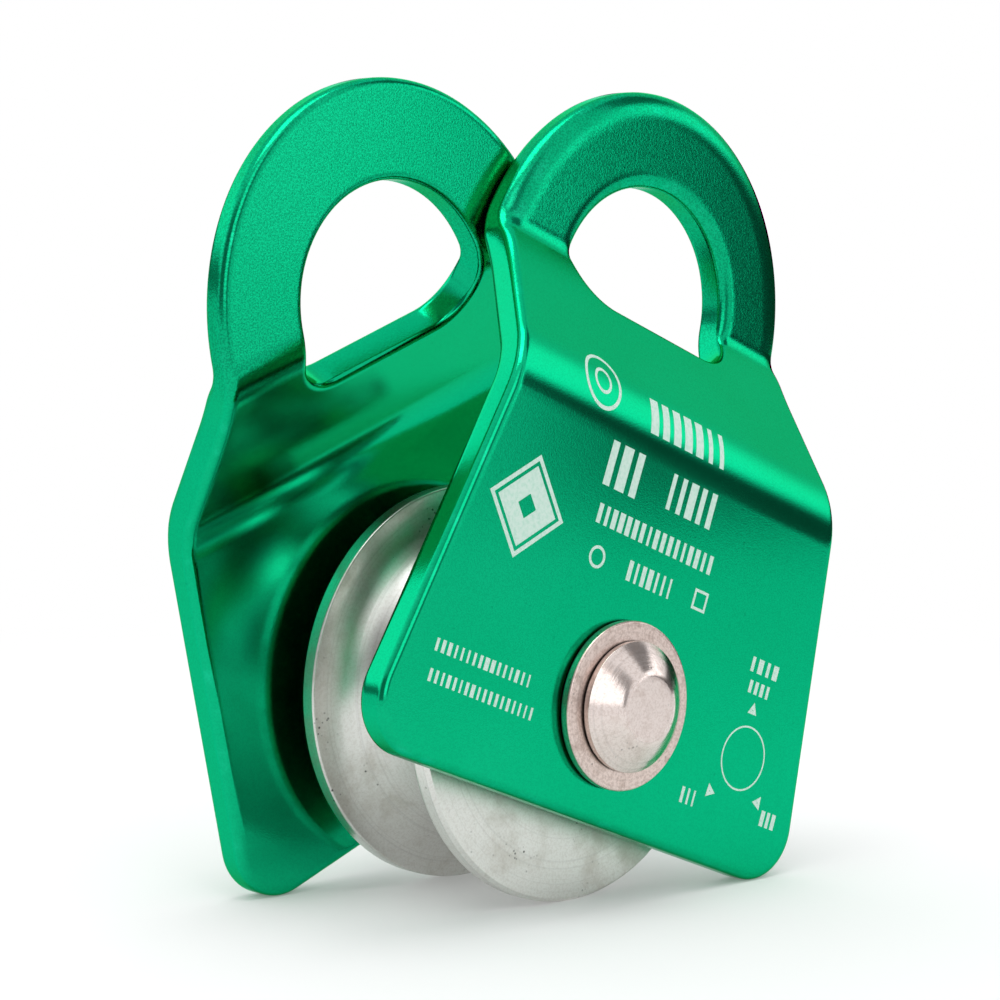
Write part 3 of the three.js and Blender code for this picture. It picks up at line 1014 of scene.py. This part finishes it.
@dataclass
class BentSheet:
    """The way the flat cheek is bent, and how it stands."""

    low: float = 13.25
    high: float = 1.9
    bend_start: float = 23.5
    lower_radius: float = 9.0
    upper_radius: float = 5.0
    bend: float = math.radians(37.5)
    axle_height: float = 20.0
    lean: float = 0.0
    rows: tuple[float, float, float, float] = field(init=False)

    def __post_init__(self) -> None:
        """Works out where along the flat sheet each bend starts and ends."""
        slope_start = self.bend_start + self.lower_radius * self.bend
        bends = (self.lower_radius + self.upper_radius) * (1 - math.cos(self.bend))
        slope_end = slope_start + (self.low - self.high - bends) / math.sin(self.bend)
        self.rows = (self.bend_start, slope_start, slope_end, slope_end + self.upper_radius * self.bend)

    def place(self, flat: np.ndarray, side: Side) -> np.ndarray:
        """Bends points of the flat sheet and stands them in their place.

        Args:
            flat: Points as across, along and out from the sheet's middle, in millimetres.
            side: The side of the pulley.

        Returns:
            The points in metres.
        """
        across, along, out = flat.T
        start, slope, unbend, eye = self.rows
        first = (np.clip(along, start, slope) - start) / self.lower_radius
        second = self.bend - (np.clip(along, unbend, eye) - unbend) / self.upper_radius
        on_slope = np.clip(along, slope, unbend) - slope
        tilt = np.where(along > unbend, second, first)
        up = np.minimum(along, start) + np.maximum(along - eye, 0) + on_slope * math.cos(self.bend)
        up += self.lower_radius * np.sin(first) + self.upper_radius * (math.sin(self.bend) - np.sin(second))
        inward = self.lower_radius * (1 - np.cos(first)) + on_slope * math.sin(self.bend)
        inward += self.upper_radius * (np.cos(second) - math.cos(self.bend))
        y = -(self.low - inward + out * np.cos(tilt))
        z = up + out * np.sin(tilt)
        x = across * math.cos(self.lean) + z * math.sin(self.lean)
        z = z * math.cos(self.lean) - across * math.sin(self.lean)
        turn = -side.value
        return np.stack((x * turn, y * turn, z + self.axle_height), axis=1) * MM


@dataclass
class Cheek:
    """A stamped cheek: its outline, its holes and its rounded edges."""

    thickness: float = 3.4
    foot_width: float = 61.0
    foot_drop: float = 11.7
    foot_corner: float = 5.5
    shoulder_width: float = 47.9
    shoulder_y: float = 27.3
    shoulder_corner: float = 2.5
    eye_width: float = 43.0
    eye_centre: float = 43.1
    eye_crown: float = 23.0
    neck: float = 30.0
    hole_width: float = 23.4
    hole_centre: float = 44.7
    hole_floor: float = 39.4
    hole_corner: float = 5.0
    bore: float = 5.08
    edge: float = 0.85
    coined: tuple[float, float] = (3.1, 1.45)
    hole_coined: tuple[float, float] = (1.7, 0.85)
    hole_edge: float = 0.55
    bore_edge: float = 0.4
    coin_from: float = 41.8
    coin_full: float = 46.8
    sheet: BentSheet = field(default_factory=BentSheet)

    def __post_init__(self) -> None:
        """Leans the cheek until the round of a foot corner is as low as the sheave."""
        angle = math.atan2(self.shoulder_y + self.foot_drop, (self.foot_width - self.shoulder_width) / 2)
        x = self.foot_width / 2 - self.foot_corner / math.tan(angle / 2)
        z = self.foot_drop - self.foot_corner
        drop = self.sheet.axle_height - self.foot_corner
        self.sheet.lean = math.asin(drop / math.hypot(x, z)) - math.atan2(z, x)

    @staticmethod
    def arc(
        cx: float, cy: float, rx: float, ry: float, start: float, end: float, step: float
    ) -> list[np.ndarray]:
        """Points on an arc, both ends included.

        Args:
            cx: The centre's place across the sheet.
            cy: The centre's place along the sheet.
            rx: The radius across the sheet.
            ry: The radius along the sheet.
            start: The first angle.
            end: The last angle.
            step: The longest distance between two points.

        Returns:
            The points.
        """
        count = max(3, math.ceil(abs(end - start) * max(rx, ry) / step))
        angles = np.linspace(start, end, count + 1)
        return [np.array((cx + rx * math.cos(a), cy + ry * math.sin(a))) for a in angles]

    @classmethod
    def round_corner(
        cls, before: Sequence[float], at: Sequence[float], after: Sequence[float], radius: float
    ) -> list[np.ndarray]:
        """Points on the round of one corner.

        Args:
            before: The corner before it.
            at: The corner.
            after: The corner after it.
            radius: Its rounding, which shrinks where the sides are too short for it.

        Returns:
            The points.
        """
        here = np.array(at, float)
        a, b = np.array(before, float) - here, np.array(after, float) - here
        reach = 0.98 * min(np.linalg.norm(a), np.linalg.norm(b))
        a, b = a / np.linalg.norm(a), b / np.linalg.norm(b)
        half = math.acos(float(np.clip(a @ b, -1, 1))) / 2
        r = min(radius, reach * math.tan(half))
        centre = here + (a + b) / np.linalg.norm(a + b) * r / math.sin(half)
        first = here + a * r / math.tan(half) - centre
        last = here + b * r / math.tan(half) - centre
        start, end = math.atan2(first[1], first[0]), math.atan2(last[1], last[0])
        sweep = (end - start + math.pi) % math.tau - math.pi
        return cls.arc(centre[0], centre[1], r, r, start, start + sweep, 0.55)

    @staticmethod
    def even(points: Sequence[np.ndarray], longest: float) -> np.ndarray:
        """Splits the long sides of a closed loop.

        Args:
            points: The loop.
            longest: The longest side that is left, in millimetres.

        Returns:
            The loop with the new points.
        """
        done: list[np.ndarray] = []
        for a, b in zip(points, [*points[1:], points[0]]):
            length = float(np.linalg.norm(b - a))
            if length < 1e-6:
                continue
            count = max(1, math.ceil(length / longest))
            done += [a + (b - a) * i / count for i in range(count)]
        return np.array(done)

    def outline(self) -> np.ndarray:
        """The outer edge of the flat sheet, anticlockwise.

        Returns:
            The loop of points.
        """
        foot, eye = self.foot_width / 2, self.eye_width / 2
        shoulder = (self.shoulder_width / 2, self.shoulder_y)
        fall = self.neck * math.tan(math.atan2(shoulder[0] - eye, self.eye_centre - shoulder[1]) / 2)
        neck, corner = (eye, self.eye_centre - fall), (foot, -self.foot_drop)
        right = [
            *self.round_corner((0, -self.foot_drop), corner, shoulder, self.foot_corner),
            *self.round_corner(corner, shoulder, neck, self.shoulder_corner),
            *self.round_corner(shoulder, neck, (eye, self.eye_centre), self.neck),
        ]
        crown = self.arc(0, self.eye_centre, eye, self.eye_crown, 0, math.pi, 0.9)[1:-1]
        left = [np.array((-p[0], p[1])) for p in reversed(right)]
        return self.even([*right, *crown, *left], 1.6)

    def hole(self) -> np.ndarray:
        """The carabiner hole, clockwise.

        Returns:
            The loop of points.
        """
        half = self.hole_width / 2
        corner = (half, self.hole_floor)
        right = self.round_corner((0, self.hole_floor), corner, (half, self.hole_centre), self.hole_corner)
        left = [np.array((-p[0], p[1])) for p in reversed(right)]
        top = self.arc(0, self.hole_centre, half, half, 0, math.pi, 0.7)
        return self.even([*right, *top, *left], 1.2)[::-1]

    def axle_hole(self) -> np.ndarray:
        """The hole for the axle, clockwise."""
        return np.array(self.arc(0, 0, self.bore, self.bore, 0, math.tau, 0.45)[:-1])[::-1]

    @staticmethod
    def into_sheet(loop: np.ndarray) -> np.ndarray:
        """At each point of a loop, the direction from the edge into the sheet.

        Args:
            loop: The edge.

        Returns:
            The directions, longer at a corner so that both its sides move in equally.
        """
        ahead = np.roll(loop, -1, axis=0) - loop
        ahead /= np.linalg.norm(ahead, axis=1)[:, None]
        behind = np.roll(ahead, 1, axis=0)
        way = ahead + behind
        way /= np.linalg.norm(way, axis=1)[:, None]
        stretch = 1 / np.clip(np.sum(way * ahead, axis=1), 0.7, 1)
        return np.stack((-way[:, 1], way[:, 0]), axis=1) * stretch[:, None]

    def coin(self, along: np.ndarray) -> np.ndarray:
        """How far the coining round the eye has come in, from 0 to 1, at a place along the sheet."""
        share = np.clip((along - self.coin_from) / (self.coin_full - self.coin_from), 0, 1)
        return share * share * (3 - 2 * share)

    def edge_rings(
        self, loop: np.ndarray, r: float, coined: tuple[float, float]
    ) -> list[tuple[np.ndarray, float]]:
        """The rings of points that run round one edge, from the inner face to the outer face.

        Args:
            loop: The edge of the sheet.
            r: The rounding of the edge.
            coined: The width and depth of the outer face's rounding where it is coined.

        Returns:
            Each ring's points and how much the edge is exposed to wear there.
        """
        half, inward = self.thickness / 2, self.into_sheet(loop)
        rings: list[tuple[np.ndarray, float]] = []

        def add(inset: np.ndarray | float, height: np.ndarray | float, wear: float) -> None:
            """Adds a ring.

            Args:
                inset: How far it is set in from the edge.
                height: Its height over the sheet's middle.
                wear: How much the edge is exposed there.
            """
            flat = loop + inward * np.broadcast_to(inset, len(loop))[:, None]
            level = np.broadcast_to(height, len(loop))[:, None]
            rings.append((np.hstack((flat, level)), wear))

        add(r + 0.3, -half, 0.0)
        for a in np.linspace(0, QUARTER, 6):
            add(r * (1 - math.sin(a)), -half + r * (1 - math.cos(a)), math.sin(2 * a))
        coin = self.coin(loop[:, 1])
        wide = r + (coined[0] - r) * coin
        deep = r + (coined[1] - r) * coin
        add(0.0, -half + r + 0.12, 0.0)
        add(0.0, half - deep - 0.12, 0.0)
        for a in np.linspace(0, QUARTER, 11):
            add(wide * (1 - math.cos(a)), half - deep * (1 - math.sin(a)), math.sin(2 * a))
        add(wide + 0.3, half, 0.0)
        return rings

    def flat_mesh(self) -> bmesh.types.BMesh:
        """The flat plate, with its wear and coining kept at each point.

        Returns:
            The plate.
        """
        plate = bmesh.new()
        wear = plate.verts.layers.float.new("edge")
        rims: tuple[list[Any], list[Any]] = ([], [])
        for loop, rounding, coined in (
            (self.outline(), self.edge, self.coined),
            (self.hole(), self.hole_edge, self.hole_coined),
            (self.axle_hole(), self.bore_edge, (self.bore_edge, self.bore_edge)),
        ):
            rings = []
            for points, exposed in self.edge_rings(loop, rounding, coined):
                ring = [plate.verts.new(p) for p in points]
                for vertex in ring:
                    vertex[wear] = exposed
                rings.append(ring)
            for low, high in zip(rings, rings[1:]):
                for i in range(len(low)):
                    j = (i + 1) % len(low)
                    plate.faces.new((low[i], low[j], high[j], high[i]))
            for rim, ring in zip(rims, (rings[0], rings[-1])):
                rim += [plate.edges.get((ring[i - 1], ring[i])) for i in range(len(ring))]
        for rim in rims:
            bmesh.ops.triangle_fill(plate, use_beauty=True, edges=rim)
        return plate

    def rows(self) -> list[float]:
        """Where the plate is cut across so that it bends smoothly.

        Returns:
            The places along the sheet, in order.
        """
        start, slope, unbend, eye = self.sheet.rows
        cuts = [start - 0.35, slope + 0.35, unbend - 0.35, eye + 0.35]
        cuts += list(np.linspace(start, slope, 11)) + list(np.linspace(unbend, eye, 9))
        return sorted(cuts)

    def build(self, side: Side) -> None:
        """Makes one cheek.

        Args:
            side: The side of the pulley that it is on.
        """
        plate = self.flat_mesh()
        for row in self.rows():
            everything = [*plate.verts, *plate.edges, *plate.faces]
            bmesh.ops.bisect_plane(
                plate, geom=everything, dist=1e-5, plane_co=(0, row, 0), plane_no=(0, 1, 0)
            )
        eye = plate.verts.layers.float.new("eye")
        flat = np.array([vertex.co for vertex in plate.verts])
        for vertex, place, coined in zip(plate.verts, self.sheet.place(flat, side), self.coin(flat[:, 1])):
            vertex.co = place
            vertex[eye] = coined
        name = f"{side.word}_cheek_plate"
        mesh = bpy.data.meshes.new(name)
        plate.to_mesh(mesh)
        plate.free()
        Piece.outward(mesh)
        Piece.dress(mesh, f"{name}_anodised", GREEN, Body(f"{side.word}_cheek"), [name])


# --- Marks on the front cheek -------------------------------------------------------------------------------


@dataclass(frozen=True)
class BarRow:
    """A row of plain bars: its middle on the flat sheet, its length, height, count and seed."""

    across: float
    along: float
    length: float
    height: float
    count: int
    seed: int


@dataclass
class Marks:
    """Plain laser marks: rows of bars and a few simple shapes."""

    cheek: Cheek
    proud: float = 0.012
    sunk: float = 0.03
    bar_rows: tuple[BarRow, ...] = (
        BarRow(0.2, 27.0, 12.0, 3.2, 7, 3),
        BarRow(-7.9, 21.2, 5.6, 4.4, 3, 5),
        BarRow(2.2, 21.3, 7.6, 3.6, 5, 8),
        BarRow(-1.2, 16.3, 17.6, 1.9, 17, 11),
        BarRow(-0.6, 12.4, 6.9, 2.0, 7, 13),
        BarRow(-18.7, -1.2, 13.0, 1.2, 16, 17),
        BarRow(-17.9, -4.0, 14.2, 1.2, 18, 19),
        BarRow(18.8, 9.0, 4.8, 1.5, 4, 23),
        BarRow(18.8, 6.8, 3.6, 1.3, 4, 29),
        BarRow(12.6, -5.9, 2.6, 1.6, 3, 31),
        BarRow(25.1, -5.3, 2.6, 1.6, 3, 37),
    )

    def row_tree(self) -> NodeTree:
        """The tree that sets bars of uneven width along a row.

        Returns:
            The tree.
        """
        kinds = {
            "Length": "NodeSocketFloat", "Height": "NodeSocketFloat", "Thickness": "NodeSocketFloat",
            "Count": "NodeSocketInt", "Seed": "NodeSocketInt", "Material": "NodeSocketMaterial",
        }
        nodes = NodeTree("bars_in_a_row", kinds)
        graph = nodes.graph
        step = nodes.input("Length") / nodes.input("Count")
        first = step * 0.5 - nodes.input("Length") * 0.5
        start = graph.wire(graph.node("ShaderNodeCombineXYZ", None, {"X": first}))
        offset = graph.wire(graph.node("ShaderNodeCombineXYZ", None, {"X": step}))
        run = {"Count": nodes.input("Count"), "Start Location": start, "Offset": offset}
        line = graph.node("GeometryNodeMeshLine", {"mode": "OFFSET"}, run)
        bar = graph.node("GeometryNodeMeshCube", None, {"Vertices X": 2, "Vertices Y": 7, "Vertices Z": 2})
        spread = {2: 0.26, 3: 0.72, "Seed": nodes.input("Seed")}
        width = graph.wire(graph.node("FunctionNodeRandomValue", {"data_type": "FLOAT"}, spread), 1)
        size = {"X": step * width, "Y": nodes.input("Height"), "Z": nodes.input("Thickness")}
        scale = graph.wire(graph.node("ShaderNodeCombineXYZ", None, size))
        spots = {"Points": graph.wire(line), "Instance": graph.wire(bar), "Scale": scale}
        nodes.close(graph.wire(graph.node("GeometryNodeInstanceOnPoints", None, spots)))
        return nodes

    def band(self, shape: bmesh.types.BMesh, outer: np.ndarray, inner: np.ndarray) -> None:
        """Adds a thin closed band between two loops.

        Args:
            shape: The mesh that it is added to.
            outer: The outer loop.
            inner: The inner loop, with the same count of points.
        """
        levels = (-self.sunk, self.proud)
        rings = [[shape.verts.new((*p, z)) for p in loop] for loop, z in (
            (outer, levels[0]), (outer, levels[1]), (inner, levels[1]), (inner, levels[0]),
        )]
        for k in range(4):
            low, high = rings[k], rings[(k + 1) % 4]
            for i in range(len(low)):
                j = (i + 1) % len(low)
                shape.faces.new((low[i], low[j], high[j], high[i]))

    @staticmethod
    def loop(across: float, along: float, radius: float, sides: int, turn: float = 0.0) -> np.ndarray:
        """A regular shape round a point of the sheet."""
        angles = np.linspace(0, math.tau, sides, endpoint=False) + turn
        return np.stack((across + radius * np.cos(angles), along + radius * np.sin(angles)), axis=1)

    @staticmethod
    def split(loop: np.ndarray, parts: int) -> np.ndarray:
        """Splits each side of a loop into parts, so that it can follow a bend."""
        ahead = np.roll(loop, -1, axis=0)
        return np.concatenate([a + (b - a) * np.arange(parts)[:, None] / parts for a, b in zip(loop, ahead)])

    def shapes(self) -> bmesh.types.BMesh:
        """Rings, a diamond and three pointers on the flat sheet.

        Returns:
            The shapes as one mesh.
        """
        shape = bmesh.new()
        rings = (
            (-12.5, 27.9, 2.6, 0.35), (-12.5, 27.9, 1.2, 0.3),
            (19.1, -0.3, 3.3, 0.18), (-8.3, 12.3, 1.1, 0.3),
        )
        for across, along, radius, line in rings:
            outer, inner = (self.loop(across, along, r, 48) for r in (radius, radius - line))
            self.band(shape, outer, inner)
        for radius, line in ((5.0, 0.42), (3.9, 1.9)):
            turned = [self.split(self.loop(-18.8, 13.9, r, 4), 10) for r in (radius, radius - line * 1.414)]
            self.band(shape, *turned)
        square = [self.split(self.loop(7.0, 12.6, r, 4, math.pi / 4), 6) for r in (1.45, 1.05)]
        self.band(shape, *square)
        for across, along, turn in ((18.7, 4.6, 90), (15.5, -4.6, 235), (22.9, -4.0, 305)):
            angle = math.radians(turn)
            self.band(shape, self.loop(across, along, 0.8, 3, angle), self.loop(across, along, 0.1, 3, angle))
        return shape

    def build(self) -> None:
        """Makes all the marks as one piece on the front cheek."""
        nodes = self.row_tree()
        flat = self.shapes()
        thickness = self.proud + self.sunk
        for row in self.bar_rows:
            values = {
                "Length": row.length, "Height": row.height, "Thickness": thickness,
                "Count": row.count, "Seed": row.seed, "Material": LASER_MARK.material(),
            }
            bars = nodes.run(bpy.data.meshes.new("bar_row"), values)
            shift = Matrix.Translation((row.across, row.along, (self.proud - self.sunk) / 2))
            bars.transform(shift)
            flat.from_mesh(bars)
            bpy.data.meshes.remove(bars)
        for vertex in flat.verts:
            vertex.co.z += self.cheek.thickness / 2
        places = self.cheek.sheet.place(np.array([vertex.co for vertex in flat.verts]), Side.FRONT)
        for vertex, place in zip(flat.verts, places):
            vertex.co = place
        mesh = bpy.data.meshes.new("front_cheek_marks")
        flat.to_mesh(mesh)
        flat.free()
        Piece.outward(mesh)
        for polygon in mesh.polygons:
            polygon.use_smooth = False
        Piece.dress(mesh, "front_cheek_marks", LASER_MARK, Body.FRONT_CHEEK, [])


# --- Studio -------------------------------------------------------------------------------------------------


@dataclass(frozen=True)
class Patch:
    """A lighter or darker patch of the room.

    Each step gives the angles in degrees where the patch begins and where it is full. Turn is counted from -Y
    towards +X and rise from the horizon.
    """

    turn: tuple[tuple[float, float], ...]
    rise: tuple[tuple[float, float], ...]
    gain: float
    both_sides: bool = False


@dataclass
class Studio:
    """A pale table, a soft room and the camera."""

    azimuth: float = 43.11
    elevation: float = 4.39
    roll: float = 0.186
    distance: float = 272.2
    focal: float = 98.6
    target: tuple[float, float, float] = (-1.009, 0.944, 38.835)
    table_side: float = 0.46
    table_far_side: float = -3.0
    table_near: float = -1.2
    table_far: float = 5.0
    table_colour: tuple[float, float, float] = (0.88, 0.89, 0.89)
    table_fade: tuple[float, float] = (0.06, 0.22)
    table_least_glow: float = 0.16
    patches: tuple[Patch, ...] = (
        Patch(((42, 47), (150, 120)), ((14, 8),), -0.92),
        Patch(((-100, -80), (-28, -44)), ((50, 30),), -0.74),
        Patch(((38, 48), (84, 76)), ((28, 33), (58, 48)), -0.75),
        Patch(((-8, -3), (16, 9)), ((46, 36),), -0.6),
        Patch(((98, 116),), ((14, 20), (46, 32)), 0.65, True),
        Patch(((98, 116),), ((2, 6), (16, 11)), -0.70, True),
        Patch(((38, 52), (88, 70)), ((10, 16), (31, 24)), 0.85),
        Patch(((34, 38), (44, 41.5)), ((-2, 1), (20, 12)), 0.95),
        Patch(((-44, -34), (-4, -12)), ((0, 6), (52, 40)), 0.8),
    )

    def forward(self) -> Vector:
        """The direction the camera looks in."""
        turn, rise = math.radians(self.azimuth), math.radians(self.elevation)
        return Vector((math.sin(turn) * math.cos(rise), math.cos(turn) * math.cos(rise), -math.sin(rise)))

    def camera(self) -> None:
        """Sets up the camera."""
        data = bpy.data.cameras.new("camera")
        data.lens = self.focal
        data.sensor_width = 36.0
        data.clip_start = 0.01
        obj = bpy.data.objects.new("camera", data)
        bpy.context.scene.collection.objects.link(obj)
        look = self.forward()
        turn = look.to_track_quat("-Z", "Y").to_matrix().to_4x4()
        turn = turn @ Matrix.Rotation(math.radians(self.roll), 4, "Z")
        place = Vector(self.target) * MM - look * self.distance * MM
        obj.matrix_world = Matrix.Translation(place) @ turn
        bpy.context.scene.camera = obj

    def table(self) -> None:
        """A pale table that fades into the white of the room."""
        look = self.forward()
        ahead = Vector((look.x, look.y, 0)).normalized()
        right = Vector((ahead.y, -ahead.x, 0))
        near = [right * side + ahead * self.table_near for side in (self.table_far_side, self.table_side)]
        far = [right * side + ahead * self.table_far for side in (self.table_side, self.table_far_side)]
        corners = near + far
        mesh = bpy.data.meshes.new("table")
        mesh.from_pydata([tuple(c) for c in corners], [], [(0, 1, 2, 3)])
        material = bpy.data.materials.new("pale_table")
        material.use_nodes = True
        graph = Graph(material.node_tree)
        material.node_tree.nodes.clear()
        place = graph.place()
        reach = graph.wire(graph.node("ShaderNodeVectorMath", {"operation": "LENGTH"}, {0: place}), "Value")
        matt = graph.node("ShaderNodeBsdfDiffuse", None, {"Color": (*self.table_colour, 1.0)})
        glow = graph.node("ShaderNodeEmission", None, {"Color": (1.0, 1.0, 1.0, 1.0), "Strength": 1.0})
        share = reach.smooth(*self.table_fade) * (1 - self.table_least_glow) + self.table_least_glow
        parts = {0: share, 1: graph.wire(matt), 2: graph.wire(glow)}
        mixed = graph.node("ShaderNodeMixShader", None, parts)
        graph.node("ShaderNodeOutputMaterial", None, {"Surface": graph.wire(mixed)})
        mesh.materials.append(material)
        obj = bpy.data.objects.new("table", mesh)
        bpy.context.scene.collection.objects.link(obj)

    def room(self) -> None:
        """A soft room: bright all round, with lighter and darker patches for the metal to show."""
        world = bpy.data.worlds.new("room")
        bpy.context.scene.world = world
        world.use_nodes = True
        world.node_tree.nodes.clear()
        graph = Graph(world.node_tree)
        way = graph.wire(graph.node("ShaderNodeTexCoord"), "Generated")
        parts = graph.node("ShaderNodeSeparateXYZ", None, {0: way})
        x, y, z = (graph.wire(parts, axis) for axis in "XYZ")
        turn = graph.math("ARCTAN2", x, 0.0 - y) * (180 / math.pi)
        rise = graph.math("ARCSINE", z) * (180 / math.pi)
        light: Wire | float = 1.0
        for patch in self.patches:
            share = graph.math("ABSOLUTE", turn) if patch.both_sides else turn
            spread = [share.smooth(*step) for step in patch.turn]
            spread += [rise.smooth(*step) for step in patch.rise]
            light = light + math.prod(spread[1:], start=spread[0]) * patch.gain
        camera = graph.wire(graph.node("ShaderNodeLightPath"), "Is Camera Ray")
        strength = light * (1 - camera) + camera
        glow = graph.node("ShaderNodeBackground", None, {"Color": (1.0, 1.0, 1.0, 1.0), "Strength": strength})
        graph.node("ShaderNodeOutputWorld", None, {"Surface": graph.wire(glow)})

    @staticmethod
    def softbox(name: str, place: Sequence[float], aim: Sequence[float], size: float, watts: float) -> None:
        """Adds a square soft light.

        Args:
            name: The light's name.
            place: Where it is, in metres.
            aim: The point that it faces.
            size: The length of its side.
            watts: Its power.
        """
        data = bpy.data.lights.new(name, "AREA")
        data.size = size
        data.energy = watts
        obj = bpy.data.objects.new(name, data)
        bpy.context.scene.collection.objects.link(obj)
        look = Vector(aim) - Vector(place)
        obj.matrix_world = Matrix.Translation(place) @ look.to_track_quat("-Z", "Y").to_matrix().to_4x4()

    def build(self) -> None:
        """Sets up everything round the object."""
        self.camera()
        self.table()
        self.room()
        self.softbox("softbox_over", (-0.12, -0.10, 0.75), (0.0, 0.0, 0.03), 0.45, 1.6)
        view = bpy.context.scene.view_settings
        view.view_transform = "Standard"
        view.look = "None"


def main() -> None:
    """Builds the pulley piece by piece, then the studio."""
    logging.basicConfig(level=logging.INFO, format="%(name)s: %(message)s")
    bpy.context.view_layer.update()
    low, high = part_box("sheave")
    lathe = Lathe((low[2] + high[2]) / 2)
    cheek = Cheek()
    LOG.info("the cheeks lean %.2f degrees", math.degrees(cheek.sheet.lean))
    Studio().build()
    Sheave().build(lathe)
    Bearing().build(lathe)
    Axle().build(lathe)
    for side in Side:
        cheek.build(side)
    Marks(cheek).build()


if __name__ == "__main__":
    main()
